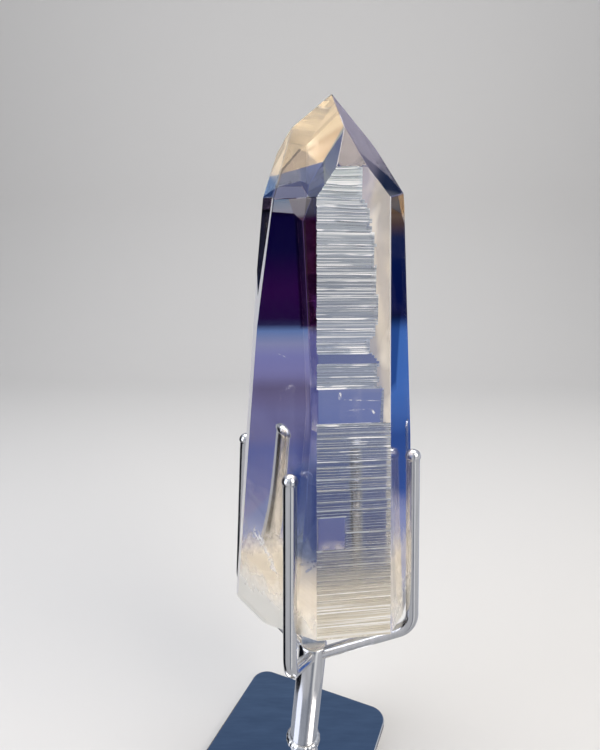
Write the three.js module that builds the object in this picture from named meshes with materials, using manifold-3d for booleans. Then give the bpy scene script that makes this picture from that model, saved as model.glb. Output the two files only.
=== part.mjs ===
// A tapering quartz point with a ribbed front face, standing in a four-pronged steel holder.
// Millimetres, +Z up. The origin is the middle of the underside of the holder's plate,
// -Y is the front and +X the right-hand side.
import * as THREE from 'three';
import { mergeVertices } from 'three/addons/utils/BufferGeometryUtils.js';
import Module from 'manifold-3d';

const wasm = await Module();
wasm.setup();

// Crystal. The core is the point that every face is measured from.
const core = new THREE.Vector3(6.4, 4.6, 89);
const baseHeight = 34.5;
const blockSize = 300;

// Each face: the direction it looks (degrees from the front, turning right), how far it is tipped
// up from upright (degrees) and its distance from the core.
const faces = {
  sideLeft: [-53.3, 2.0, 15.1],
  sideFront: [8.2, 4.3, 21.3],
  sideRight: [70.7, 3.2, 15.9],
  sideBackRightUpper: [122.8, 9.2, 13.7],
  sideBackRightLower: [122.8, 2.6, 15.3],
  sideBack: [-171.6, 3.5, 9.6],
  sideBackLeft: [-107, 4.9, 13.9],
  wornEdgeUpper: [-68.6, 4.9, 15.86],
  wornEdgeLower: [-74.5, 3.9, 15.48],
  sliverLeft: [-71, 5.5, 16.0],
  tipLeft: [-52.4, 32.2, 29.9],
  tipFront: [5.8, 36.1, 37.4],
  tipRight: [65.7, 37.3, 32.6],
  tipBack: [169.4, 31.8, 23.9],
  tipBackRight: [125.7, 30.3, 27.0],
  shoulderLeft: [-70, 25.5, 26.4],
  shoulderRight: [110.5, 17.6, 20.2],
  shoulderBack: [-172.7, 21.2, 18.7],
};

// The lower end is worn round, and its front part slopes down towards the back.
const roundedSides = ['sideLeft', 'sideRight', 'sideBackRightLower', 'sideBack', 'sideBackLeft'];
const roundStart = 41.8;
const roundRadius = 6;
const roundAngles = [17, 33, 50];
const frontSlope = { facing: 8, point: new THREE.Vector3(11, -18, 46.5), tips: [-64, -42, -20], inset: 1.6 };

// Ledges across the front face: bands of equal steps, from the top down. Left and right are
// distances along the face from its middle, taken at the top and at the bottom of the band.
const ledgeDepth = 0.4;
const bands = [
  { top: 126.6, bottom: 122.2, steps: 4, left: [-2.8, -5.3], right: [1.4, 1.3] },
  { top: 121.1, bottom: 115.6, steps: 5, left: [-5.9, -5.9], right: [2.3, 4.2] },
  { top: 114.4, bottom: 100.3, steps: 11, left: [-5.9, -5.9], right: [4.2, 4.8] },
  { top: 99.4, bottom: 98.5, steps: 2, left: [-5.9, -5.9], right: [2.9, 3.1] },
  { top: 96.3, bottom: 92.9, steps: 4, left: [-5.9, -5.9], right: [4.8, 5.1] },
  { top: 86.3, bottom: 84.4, steps: 2, left: [-5.9, -5.9], right: [8.2, 8.2] },
  { top: 82.4, bottom: 71.3, steps: 8, left: [-5.9, -5.9], right: [8.4, 8.4] },
  { top: 64.0, bottom: 48.8, steps: 9, left: [-5.9, -5.9], right: [8.6, 8.6] },
];

// Holder: a thin square plate, a leaning stem and four bent rods.
const plate = { side: 36, corner: 4, thickness: 1.5, turn: -23 };
const stem = { foot: [2.35, 2.0], radius: 3.2, height: 25.2, lean: [0.085, 0.075], weldRadius: 4.1, weldHeight: 0.9 };
const rod = { radius: 1.3, sides: 12, steps: 34, tipRadius: 1.55, bendHeight: 37.2, bendLength: 3.6 };
const hubHeight = 23.0;
const gap = 0.3;
const prongs = {
  prong_front: { bend: [-0.5, -17.1], tip: [-0.6, -14.8, 75.9] },
  prong_right: { bend: [25.0, -4.0], tip: [22.7, -5.4, 77.0] },
  prong_back: { bend: [11.9, 20.2], tip: [11.2, 17.9, 75.1] },
  prong_left: { bend: [-12.6, 11.2], tip: [-10.5, 8.0, 75.1] },
};

const steel = new THREE.MeshStandardMaterial({ color: 0xc9ccd1, roughness: 0.16, metalness: 1 });
const quartz = new THREE.MeshStandardMaterial({
  color: 0xe9ecf4, roughness: 0.04, metalness: 0, transparent: true, opacity: 0.55,
});

const radians = THREE.MathUtils.degToRad;

function toSolid(geometry) {
  const bare = geometry.index ? geometry.toNonIndexed() : geometry.clone();
  bare.deleteAttribute('normal');
  bare.deleteAttribute('uv');
  const merged = mergeVertices(bare, 1e-4);
  const vertProperties = new Float32Array(merged.attributes.position.array);
  const triVerts = new Uint32Array(merged.index.array);
  return new wasm.Manifold(new wasm.Mesh({ numProp: 3, vertProperties, triVerts }));
}

function toGeometry(solid) {
  const mesh = solid.getMesh();
  const geometry = new THREE.BufferGeometry();
  geometry.setAttribute('position', new THREE.BufferAttribute(new Float32Array(mesh.vertProperties), 3));
  geometry.setIndex(Array.from(mesh.triVerts));
  const flat = geometry.toNonIndexed();
  flat.computeVertexNormals();
  return flat;
}

// The unit vector that looks towards the given direction, tipped up by the given angle.
function facing(direction, tip) {
  const turn = radians(direction);
  const rise = radians(tip);
  return new THREE.Vector3(Math.sin(turn) * Math.cos(rise), -Math.cos(turn) * Math.cos(rise), Math.sin(rise));
}

// Everything behind the plane that has this outward normal and passes through this point.
function halfSpace(normal, point) {
  const block = new THREE.BoxGeometry(blockSize, blockSize, blockSize);
  block.translate(0, 0, -blockSize / 2);
  block.applyQuaternion(new THREE.Quaternion().setFromUnitVectors(new THREE.Vector3(0, 0, 1), normal));
  block.translate(point.x, point.y, point.z);
  return toSolid(block);
}

function faceCut([direction, tip, distance]) {
  const normal = facing(direction, tip);
  return halfSpace(normal, core.clone().addScaledVector(normal, distance));
}

// Planes that round the lower edge of one side, all touching a circle set into its corner.
function roundingCuts([direction, tip, distance]) {
  const drop = core.z - roundStart;
  const reach = (distance + drop * Math.sin(radians(tip))) / Math.cos(radians(tip));
  return roundAngles.map((angle) => {
    const turn = radians(angle);
    const away = (reach - roundRadius) * Math.cos(turn) + drop * Math.sin(turn) + roundRadius;
    return faceCut([direction, -angle, away]);
  });
}

function frontSlopeCuts() {
  return frontSlope.tips.map((tip, i) => {
    const normal = facing(frontSlope.facing, tip);
    const outward = facing(frontSlope.facing, 0);
    return halfSpace(normal, frontSlope.point.clone().addScaledVector(outward, i * frontSlope.inset));
  });
}

// One ledge: a long wedge cut out of the front face, deepest at its lower side.
function ledgeCut(height, pitch, left, right) {
  const [direction, tip, distance] = faces.sideFront;
  const profile = new THREE.Shape();
  const rise = pitch * 0.75;
  profile.moveTo(1, 0);
  profile.lineTo(-ledgeDepth, 0);
  profile.lineTo(0, rise);
  profile.lineTo(1, rise);
  const wedge = new THREE.ExtrudeGeometry(profile, { depth: right - left, bevelEnabled: false });
  const outward = facing(direction, 0);
  const along = new THREE.Vector3(-outward.y, outward.x, 0);
  const up = new THREE.Vector3(0, 0, 1);
  wedge.applyMatrix4(new THREE.Matrix4().makeBasis(outward, up, along.clone().negate()));
  const reach = (distance + (core.z - height) * Math.sin(radians(tip))) / Math.cos(radians(tip));
  const start = core.clone().addScaledVector(outward, reach).addScaledVector(along, right);
  wedge.translate(start.x, start.y, height);
  return toSolid(wedge);
}

function ledgeCuts(band) {
  const pitch = (band.top - band.bottom) / Math.max(band.steps - 1, 1);
  return Array.from({ length: band.steps }, (_, i) => {
    const t = i / Math.max(band.steps - 1, 1);
    const left = THREE.MathUtils.lerp(band.left[0], band.left[1], t);
    const right = THREE.MathUtils.lerp(band.right[0], band.right[1], t);
    return ledgeCut(band.top - i * pitch, pitch, left, right);
  });
}

function makeCrystal() {
  const start = new THREE.BoxGeometry(90, 90, 160);
  start.translate(core.x, core.y, baseHeight + 80);
  const cuts = [
    ...Object.values(faces).map(faceCut),
    ...roundedSides.flatMap((name) => roundingCuts(faces[name])),
    ...frontSlopeCuts(),
  ];
  const smooth = cuts.reduce((body, cut) => body.intersect(cut), toSolid(start));
  const ledged = bands.flatMap(ledgeCuts).reduce((body, cut) => body.subtract(cut), smooth);
  return toGeometry(ledged);
}

function makePlate() {
  const half = plate.side / 2;
  const inner = half - plate.corner;
  const outline = new THREE.Shape();
  outline.absarc(inner, inner, plate.corner, 0, Math.PI / 2);
  outline.absarc(-inner, inner, plate.corner, Math.PI / 2, Math.PI);
  outline.absarc(-inner, -inner, plate.corner, Math.PI, Math.PI * 1.5);
  outline.absarc(inner, -inner, plate.corner, Math.PI * 1.5, Math.PI * 2);
  return new THREE.ExtrudeGeometry(outline, { depth: plate.thickness, bevelEnabled: false, curveSegments: 6 });
}

// The stem's axis at a height above the plate's underside.
function stemAxis(height) {
  const rise = height - plate.thickness;
  return new THREE.Vector3(stem.foot[0] + stem.lean[0] * rise, stem.foot[1] + stem.lean[1] * rise, height);
}

// A turned shape that leans with the stem, its ends still level.
function leaning(profile, segments) {
  const turned = new THREE.LatheGeometry(profile.map(([r, z]) => new THREE.Vector2(r, z)), segments);
  turned.rotateX(Math.PI / 2);
  const shear = new THREE.Matrix4().makeShear(0, 0, 0, 0, stem.lean[0], stem.lean[1]);
  turned.applyMatrix4(shear);
  const foot = stemAxis(plate.thickness);
  turned.translate(foot.x, foot.y, foot.z);
  return turned;
}

function makeStem() {
  const { radius, height, weldRadius, weldHeight } = stem;
  const profile = [
    [0, 0], [weldRadius, 0], [weldRadius - 0.15, weldHeight * 0.45], [radius, weldHeight],
    [radius, height - 0.8], [radius - 0.8, height], [0, height],
  ];
  return leaning(profile, 28);
}

// One rod: down from its tip, round a bend and in along a sloping arm to the stem.
function makeProng({ bend, tip: tipPlace }) {
  const hub = stemAxis(hubHeight);
  const tip = new THREE.Vector3(...tipPlace);
  const corner = new THREE.Vector3(bend[0], bend[1], rod.bendHeight);
  const armWay = hub.clone().sub(corner).normalize();
  const riseWay = tip.clone().sub(corner).normalize();
  const bendTop = corner.clone().addScaledVector(riseWay, rod.bendLength);
  const bendEnd = corner.clone().addScaledVector(armWay, rod.bendLength);
  const route = new THREE.CurvePath();
  route.add(new THREE.LineCurve3(hub, bendEnd));
  route.add(new THREE.QuadraticBezierCurve3(bendEnd, corner, bendTop));
  route.add(new THREE.LineCurve3(bendTop, tip));
  const section = new THREE.Shape();
  section.absarc(0, 0, rod.radius, 0, Math.PI * 2);
  const tube = new THREE.ExtrudeGeometry(section, {
    steps: rod.steps, extrudePath: route, curveSegments: rod.sides / 2, bevelEnabled: false,
  });
  const knob = new THREE.SphereGeometry(rod.tipRadius, 12, 8);
  knob.rotateX(Math.PI / 2);
  knob.translate(tip.x, tip.y, tip.z - rod.tipRadius * 0.4);
  const clearance = leaning([[0, -1], [stem.radius + gap, -1], [stem.radius + gap, 40], [0, 40]], 28);
  return toGeometry(toSolid(tube).add(toSolid(knob)).subtract(toSolid(clearance)));
}

const group = new THREE.Group();

function addPiece(name, geometry, material) {
  const mesh = new THREE.Mesh(geometry, material);
  mesh.name = name;
  group.add(mesh);
  return mesh;
}

addPiece('crystal', makeCrystal(), quartz);
addPiece('base_plate', makePlate(), steel).rotation.z = radians(plate.turn);
addPiece('stem', makeStem(), steel);
for (const [name, spec] of Object.entries(prongs)) {
  addPiece(name, makeProng(spec), steel);
}

export default group;
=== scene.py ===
import math
from itertools import combinations

import bmesh
import bpy
import numpy as np
from mathutils import Matrix


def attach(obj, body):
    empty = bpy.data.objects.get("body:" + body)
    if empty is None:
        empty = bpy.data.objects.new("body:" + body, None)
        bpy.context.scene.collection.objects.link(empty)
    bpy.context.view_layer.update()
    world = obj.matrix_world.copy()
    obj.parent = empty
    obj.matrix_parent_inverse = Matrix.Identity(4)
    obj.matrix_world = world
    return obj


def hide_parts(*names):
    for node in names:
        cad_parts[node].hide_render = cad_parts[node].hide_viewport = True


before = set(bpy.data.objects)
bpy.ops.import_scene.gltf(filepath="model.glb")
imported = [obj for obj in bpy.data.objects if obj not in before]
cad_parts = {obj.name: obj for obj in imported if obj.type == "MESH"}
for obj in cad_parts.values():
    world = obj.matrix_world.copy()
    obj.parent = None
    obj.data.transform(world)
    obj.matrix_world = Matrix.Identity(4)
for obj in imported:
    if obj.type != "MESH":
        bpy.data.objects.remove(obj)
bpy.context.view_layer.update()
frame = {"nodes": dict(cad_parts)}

mm = 0.001
tiny = 1e-6  # what counts as nothing, in millimetres
rng = np.random.default_rng(12)
print("frame loaded:", ", ".join(frame["nodes"]))


# helpers: colours, meshes and shader nodes

def srgb(code, alpha=1.0):
    # hex to linear light, with the usual sRGB curve
    parts = [int(code[i:i + 2], 16) / 255 for i in (1, 3, 5)]
    linear = [p / 12.92 if p <= 0.04045 else ((p + 0.055) / 1.055) ** 2.4 for p in parts]
    return (*linear, alpha)


def addNode(tree, kind, settings=None, links=None):
    # kind is the node's type without ShaderNode in front, settings are attributes or socket values,
    # links are socket -> (node, output). A Mix of colours has them in sockets 6 and 7, and gives output 2
    node = tree.nodes.new("ShaderNode" + kind)
    for key, value in (settings or {}).items():
        if isinstance(key, str) and hasattr(node, key):
            setattr(node, key, value)
        else:
            node.inputs[key].default_value = value
    for key, (source, output) in (links or {}).items():
        tree.links.new(source.outputs[output], node.inputs[key])
    return node


def newMaterial(name):
    material = bpy.data.materials.new(name)
    material.use_nodes = True
    material.node_tree.nodes.clear()
    return material, material.node_tree


def fromTo(low, high, start=0.0, end=1.0):
    # settings for a MapRange: low to high is turned into start to end
    return {"From Min": low, "From Max": high, "To Min": start, "To Max": end}


def ramp(tree, source, stops):
    # stops: list of (position, colour)
    node = addNode(tree, "ValToRGB", links={"Fac": source})
    elements = node.color_ramp.elements
    while len(elements) < len(stops):
        elements.new(0.5)
    for element, (position, colour) in zip(elements, stops):
        element.position = position
        element.color = colour
    return node


def rampByHeight(tree, axes, stops):
    # stops: list of (height in millimetres, colour), from the lowest up
    low, high = stops[0][0], stops[-1][0]
    share = addNode(tree, "MapRange", fromTo(low * mm, high * mm), {"Value": (axes, "Z")})
    return ramp(tree, (share, 0), [((height - low) / (high - low), colour) for height, colour in stops])


def newPiece(name, points, faces, smooth=True):
    # points in millimetres; the object stays at the origin
    mesh = bpy.data.meshes.new(name)
    mesh.from_pydata((np.asarray(points, float) * mm).tolist(), [], faces)
    mesh.validate()
    if smooth:
        mesh.shade_smooth()
    else:
        mesh.shade_flat()
    piece = bpy.data.objects.new(name, mesh)
    bpy.context.scene.collection.objects.link(piece)
    return piece


def gridFaces(rows, cols, closeCols=False):
    # quads of a rows x cols grid of points, joined round the columns if asked
    i, j = np.meshgrid(np.arange(rows - 1), np.arange(cols if closeCols else cols - 1), indexing="ij")
    nextJ = (j + 1) % cols
    corners = (i * cols + j, i * cols + nextJ, (i + 1) * cols + nextJ, (i + 1) * cols + j)
    return np.stack(corners, axis=-1).reshape(-1, 4).tolist()


def smoothStep(low, high, x):
    t = np.clip((x - low) / (high - low), 0, 1)
    return t * t * (3 - 2 * t)


# crystal: millimetres, directions in degrees from the front turning right, tips in degrees up
crystalSpec = {
    "core": np.array([6.4, 4.6, 89.0]),  # every face is measured from here
    "base": 34.5,
    "faces": {
        "sideLeft": (-53.3, 2.0, 15.1),
        "sideFront": (8.2, 4.3, 21.3),
        "sideRight": (70.7, 3.2, 15.9),
        "sideBackRightUpper": (122.8, 9.2, 13.7),
        "sideBackRightLower": (122.8, 2.6, 15.3),
        "sideBack": (-171.6, 3.5, 9.6),
        "sideBackLeft": (-107, 4.9, 13.9),
        "wornEdgeUpper": (-68.6, 4.9, 15.86),
        "wornEdgeLower": (-74.5, 3.9, 15.48),
        "sliverLeft": (-71, 5.5, 16.0),
        "tipLeft": (-52.4, 32.2, 29.9),
        "tipFront": (5.8, 36.1, 37.4),
        "tipRight": (65.7, 37.3, 32.6),
        "tipBack": (169.4, 31.8, 23.9),
        "tipBackRight": (125.7, 30.3, 27.0),
        "shoulderLeft": (-70, 25.5, 26.4),
        "shoulderRight": (110.5, 17.6, 20.2),
        "shoulderBack": (-172.7, 21.2, 18.7),
    },
    "rounded": ("sideLeft", "sideRight", "sideBackRightLower", "sideBack", "sideBackLeft"),
    "roundStart": 41.8,
    "roundRadius": 6.0,
    "roundAngles": (9, 18, 27, 36, 45, 54, 66),
    "slopeFacing": 8,
    "slopePoint": np.array([11.0, -18.0, 46.5]),
    "slopeTips": (-64, -42, -20),
    "slopeInset": 1.6,
    "wearFrom": (1.0, 12),  # edges get worn from this length, and this many degrees between their faces
    "edgeWear": 0.13,  # width of the worn line along each edge
    "wornWidth": 0.26,  # and along the edges that are worn white
    "wornFaces": ("wornEdgeUpper", "wornEdgeLower"),
    "wornEdges": (
        ("sideFront", "sideRight"), ("sideRight", "sideBackRightUpper"), ("sideRight", "sideBackRightLower"),
        ("tipRight", "shoulderRight"), ("tipRight", "tipBack"),
    ),
}


def facing(direction, tip):
    turn, rise = math.radians(direction), math.radians(tip)
    return np.array([math.sin(turn) * math.cos(rise), -math.cos(turn) * math.cos(rise), math.sin(rise)])


def crystalPlanes(spec):
    # each plane is a unit normal and a reach, with normal . point <= reach inside
    core = spec["core"]
    normals, reaches = [], []

    def cut(normal, point):
        normals.append(normal)
        reaches.append(float(normal @ point))

    for direction, tip, distance in spec["faces"].values():
        normal = facing(direction, tip)
        cut(normal, core + normal * distance)
    drop, radius = core[2] - spec["roundStart"], spec["roundRadius"]
    for name in spec["rounded"]:
        direction, tip, distance = spec["faces"][name]
        reach = (distance + drop * math.sin(math.radians(tip))) / math.cos(math.radians(tip))
        for angle in spec["roundAngles"]:
            turn = math.radians(angle)
            away = (reach - radius) * math.cos(turn) + drop * math.sin(turn) + radius
            normal = facing(direction, -angle)
            cut(normal, core + normal * away)
    outward = facing(spec["slopeFacing"], 0)
    for i, tip in enumerate(spec["slopeTips"]):
        cut(facing(spec["slopeFacing"], tip), spec["slopePoint"] + outward * i * spec["slopeInset"])
    cut(np.array([0.0, 0.0, -1.0]), np.array([0.0, 0.0, spec["base"]]))
    return np.array(normals), np.array(reaches)


def cornersOf(normals, reaches):
    # every point where three planes meet that lies behind all the others
    triples = np.array(list(combinations(range(len(normals)), 3)))
    systems = normals[triples]
    solid = np.abs(np.linalg.det(systems)) > 10 * tiny
    triples, systems = triples[solid], systems[solid]
    points = np.linalg.solve(systems, reaches[triples][..., None])[..., 0]
    inside = (points @ normals.T <= reaches + tiny).all(axis=1)
    return points[inside], triples[inside]


def halfway(first, second):
    middle = first + second
    return middle / np.linalg.norm(middle)


def wornEdges(normals, reaches, spec):
    # a narrow plane across each edge: its normal is halfway between the two faces'
    points, triples = cornersOf(normals, reaches)
    order = list(spec["faces"])
    white = [tuple(sorted(order.index(name) for name in pair)) for pair in spec["wornEdges"]]
    shortest, flattest = spec["wearFrom"]
    ends = {}
    for point, triple in zip(points, triples):
        for pair in combinations(triple, 2):
            ends.setdefault(tuple(pair), []).append(point)
    extra, extraReach = [], []
    for (a, b), found in ends.items():
        found = np.array(found)
        length = np.linalg.norm(found.max(axis=0) - found.min(axis=0))
        spread = math.acos(np.clip(normals[a] @ normals[b], -1, 1))
        if length > shortest and spread > math.radians(flattest):
            width = spec["wornWidth"] if (a, b) in white else spec["edgeWear"]
            middle = halfway(normals[a], normals[b])
            extra.append(middle)
            extraReach.append(middle @ found[0] - width / 2 * math.tan(spread / 2))
    return np.vstack([normals, extra]), np.append(reaches, extraReach)


def wornNormals(spec):
    # the normals of everything that is worn white
    looks = {name: facing(direction, tip) for name, (direction, tip, _) in spec["faces"].items()}
    return np.array([looks[name] for name in spec["wornFaces"]]
                    + [halfway(looks[a], looks[b]) for a, b in spec["wornEdges"]])


def convexBody(name, normals, reaches):
    # the hull of the corners, with coplanar triangles joined into flat faces
    points, _ = cornersOf(normals, reaches)
    points = np.unique(points.round(4), axis=0)
    work = bmesh.new()
    verts = [work.verts.new(p * mm) for p in points]
    made = bmesh.ops.convex_hull(work, input=verts)
    spare = [v for v in made["geom_interior"] if isinstance(v, bmesh.types.BMVert)]
    bmesh.ops.delete(work, geom=spare, context="VERTS")
    coplanar = 0.002  # radians
    bmesh.ops.dissolve_limit(work, angle_limit=coplanar, verts=work.verts, edges=work.edges)
    mesh = bpy.data.meshes.new(name)
    work.to_mesh(mesh)
    work.free()
    piece = bpy.data.objects.new(name, mesh)
    bpy.context.scene.collection.objects.link(piece)
    return piece


# ladder: growth ledges across the front face. s runs along the face, to the right, from the core
ladderSpec = {
    "left": -7.0,
    "right": 10.5,
    "top": 128.5,
    "bottom": 45.5,
    "rowStep": 0.4,  # plain rows between the ledges' own rows
    "colStep": 0.42,
    "proud": 0.05,  # how far plain stretches stay outside the face, so that the cut misses them
    # main ledge heights, from the top down; the finer lines come between them
    "heights": (126.9, 125.9, 124.6, 123.6, 122.7, 121.1, 119.1, 117.6, 115.5, 113.9, 112.3, 110.9,
                109.3, 107.9, 105.9, 103.8, 102.2, 100.3, 99.2, 98.6, 96.3, 95.3, 94.4, 93.6, 92.9,
                86.2, 84.9, 84.0, 82.4, 80.0, 78.9, 76.8, 74.9, 72.9, 71.3, 67.1,
                63.9, 62.4, 61.1, 58.5, 56.6, 54.7, 52.7, 50.8, 48.8, 47.0),
    "mainDepth": (0.12, 0.28),
    "fineDepth": (0.03, 0.09),
    "fineStep": (0.32, 0.62),
    "fineCount": 400,  # more than fit, the rest are dropped
    "fineAbove": 0.6,  # how far the finer lines go on above the highest ledge
    "fineGap": 0.2,  # and how near they come to a main one
    "footDepth": 0.1,  # depth below the lowest ledge
    "depthShare": 0.3,  # no ledge is deeper than this share of its height
    "sillShare": 0.9,  # height of the sill as a share of the depth
    "brow": (0.22, 0.25),  # height of the brow, and its most as a share of the ledge's height
    "slopeShare": 0.4,  # share of the depth that is lost between sill and brow
    "uneven": (0.86, 0.14, 0.5, 0.23, 2.4),  # mean and swing of the depth along s, two waves, shift per ledge
    "milkyLedges": (0.45, 51.0, 58.0),  # share of the depth below the first height, all above the second
    "plainDepth": 0.03,
    # right-hand end of the ledges against height, and how far single ones stop short of it
    "edgeShift": 0.15,
    "shortBy": (0, 0.3),
    "edge": ((127.2, 0.9), (125.4, 1.1), (122.9, 1.0), (121.1, 2.1), (118.3, 2.7), (115.4, 3.4), (108.9, 3.6),
             (105.7, 4.1), (103.3, 3.8), (101.4, 3.7), (100.2, 2.6), (98.6, 2.7), (97.0, 4.1), (92.9, 4.3),
             (92.4, 5.2), (86.6, 5.3), (86.3, 10.5), (45.0, 10.5)),
    # smooth windows in the ladder: top, bottom, left, right
    "windows": ((98.3, 96.6, -8.0, 4.6), (92.5, 86.6, -8.0, 5.3), (70.2, 64.3, -8.0, -0.6)),
    # soft ends of the ledges, in millimetres: right end, above the foot, heights at the top, windows
    "edgeFade": 0.25,
    "footFade": (-0.1, 0.4),
    "topFade": (127.0, 127.6),
    "windowFade": (0.12, 0.3),
    # the satin strip on the ladder's right: lower end, gap to the top, gap to the ledges, inset
    "strip": (86.4, 0.6, 0.1, 0.012),
    # the lines run nearly straight and level: waves of (height, per millimetre of s, of z), and a slope
    "wave": (0.015, 0.7, 0.3),
    "topWave": (0.09, 0.75, 0.5),
    "topWaveFrom": (117, 125),
    "slope": (0.008, 1),
    "rimReach": 70.0,  # how far the block goes on past its grid
    "blockDepth": 220,
}


def growthLines(spec):
    # two sets of heights with their depths, from the bottom up: the main ledges and the finer ones
    main = np.array(spec["heights"])[::-1]
    fine = main[0] + np.cumsum(rng.uniform(*spec["fineStep"], spec["fineCount"]))
    fine = fine[fine < main[-1] + spec["fineAbove"]]
    fine = fine[np.abs(fine[:, None] - main).min(axis=1) > spec["fineGap"]]
    mainDepths = rng.uniform(*spec["mainDepth"], len(main))
    fineDepths = rng.uniform(*spec["fineDepth"], len(fine))
    return (main, mainDepths), (fine, fineDepths)


def ledgeShape(lines, depths, spec):
    # per ledge: lower line, upper line, depth, height of the sill above the lower line, of the brow
    # below the upper one
    lower = np.concatenate([[spec["bottom"] - 1], lines])
    upper = np.concatenate([lines, [spec["top"] + 1]])
    height = upper - lower
    depth = np.minimum(np.concatenate([[spec["footDepth"]], depths]), height * spec["depthShare"])
    brow, browShare = spec["brow"]
    return lower, upper, depth, depth * spec["sillShare"], np.minimum(brow, height * browShare)


def ledgeDepth(s, z, lines, shape, spec):
    # from the lower line in over the sill, then slowly out, then the rest of the way out under the brow
    lower, upper, depth, sill, brow = shape
    place = np.searchsorted(lines, z + tiny)
    rise, left = z - lower[place], upper[place] - z
    span = np.maximum(upper[place] - lower[place] - sill[place], tiny)
    slow = 1 - spec["slopeShare"] * np.clip((rise - sill[place]) / span, 0, 1)
    mean, swing, wave, slowWave, shift = spec["uneven"]
    phase = place * shift
    uneven = mean + swing * np.sin(s * wave + phase) * np.sin(s * slowWave - 2 * phase)
    return (depth[place] * uneven * slow * np.clip(rise / np.maximum(sill[place], tiny), 0, 1)
            * np.clip(left / brow[place], 0, 1))


def within(low, high, fade, x):
    # one between low and high, falling to nothing over the fade at both ends
    return smoothStep(-fade, fade, x - low) * (1 - smoothStep(-fade, fade, x - high))


def ladderRelief(spec):
    # a grid over the front face: its rows and columns, s, z, depth into the face, and where the strip is
    zs = [np.arange(spec["bottom"], spec["top"], spec["rowStep"])]
    sets = []
    for lines, depths in growthLines(spec):
        shape = ledgeShape(lines, depths, spec)
        sets.append((lines, shape))
        zs += [lines, (shape[0] + shape[3])[1:], (shape[1] - shape[4])[:-1]]
    zs = np.unique(np.concatenate(zs).round(2))
    zs = zs[(zs >= spec["bottom"]) & (zs < spec["top"])]
    ss = np.arange(spec["left"], spec["right"], spec["colStep"])
    z, s = np.meshgrid(zs, ss, indexing="ij")
    depth = sum(ledgeDepth(s, z, lines, shape, spec) for lines, shape in sets)
    # the ledges are shallower in the milky lower end
    shallow, fading, full = spec["milkyLedges"]
    depth *= shallow + (1 - shallow) * smoothStep(fading, full, z)
    mainLines = sets[0][0]
    short = rng.uniform(*spec["shortBy"], len(mainLines) + 1)[np.searchsorted(mainLines, z + tiny)]
    heights, ends = np.array(spec["edge"])[::-1].T
    rightEnd = np.interp(z, heights, ends) + spec["edgeShift"] - short
    keep = 1 - smoothStep(-spec["edgeFade"], spec["edgeFade"], s - rightEnd)
    keep *= smoothStep(*spec["footFade"], z - zs[1]) * (1 - smoothStep(*spec["topFade"], z))
    fadeZ, fadeS = spec["windowFade"]
    for top, bottom, left, right in spec["windows"]:
        keep *= 1 - within(bottom, top, fadeZ, z) * within(left, right, fadeS, s)
    depth = (depth + spec["plainDepth"]) * keep - spec["proud"] * (1 - keep)
    foot, head, gap, inset = spec["strip"]
    strip = (s > rightEnd + gap) & (z > foot) & (z < spec["top"] - head)
    depth[strip] = np.maximum(depth, inset)[strip]
    depth[0, :] = depth[-1, :] = -spec["proud"]
    depth[:, 0] = depth[:, -1] = -spec["proud"]
    height, alongS, alongZ = spec["wave"]
    wave = height * np.sin(s * alongS + z * alongZ)
    height, alongS, alongZ = spec["topWave"]
    wave += height * smoothStep(*spec["topWaveFrom"], z) * np.sin(s * alongS + z * alongZ)
    slope, middle = spec["slope"]
    return zs, ss, s, z + wave - slope * (s - middle), depth, strip


def makeLadderBlock(spec, crystal):
    # a grid over the front face, pushed in by the ledges, and closed by a point far behind
    direction, tip, distance = crystal["faces"]["sideFront"]
    normal = facing(direction, tip)
    level = facing(direction, 0)
    along = np.array([-level[1], level[0], 0.0])
    upward = np.cross(normal, along)
    zs, ss, s, z, depth, strip = ladderRelief(spec)
    far = spec["rimReach"]
    z = np.pad(z, 1, mode="edge")
    s = np.pad(s, 1, mode="edge")
    z[0], z[-1] = zs[0] - far, zs[-1] + far
    s[:, 0], s[:, -1] = ss[0] - far, ss[-1] + far
    depth = np.pad(depth, 1, constant_values=-spec["proud"])
    climb = (z - crystal["core"][2] - distance * normal[2]) / upward[2]
    points = (crystal["core"] + normal * distance + along * s[..., None] + upward * climb[..., None]
              - normal * depth[..., None]).reshape(-1, 3)
    apex = crystal["core"] - normal * spec["blockDepth"]
    index = np.arange(z.size).reshape(z.shape)
    rim = np.concatenate([index[0, :-1], index[:-1, -1], index[-1, :0:-1], index[:0:-1, 0]])
    fan = np.stack([np.roll(rim, -1), rim, np.full(len(rim), len(points))], axis=-1).tolist()
    block = newPiece("ladderBlock", np.vstack([points, apex]), gridFaces(*z.shape) + fan, smooth=False)
    satin = np.pad(strip, 1)
    satin = satin[:-1, :-1] & satin[1:, :-1] & satin[:-1, 1:] & satin[1:, 1:]
    slots = np.zeros(len(block.data.polygons), dtype=np.int32)
    slots[:satin.size] = satin.ravel()
    block.data.polygons.foreach_set("material_index", slots)
    return block


def combine(piece, tool, operation):
    # one boolean, applied to the mesh, after which the tool is gone
    step = piece.modifiers.new("cut", "BOOLEAN")
    step.operation = operation
    step.object = tool
    step.solver = "MANIFOLD"
    step.material_mode = "TRANSFER"
    graph = bpy.context.evaluated_depsgraph_get()
    result = bpy.data.meshes.new_from_object(piece.evaluated_get(graph), preserve_all_data_layers=True,
                                             depsgraph=graph)
    piece.modifiers.clear()
    piece.data = result
    bpy.data.objects.remove(tool, do_unlink=True)


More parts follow.
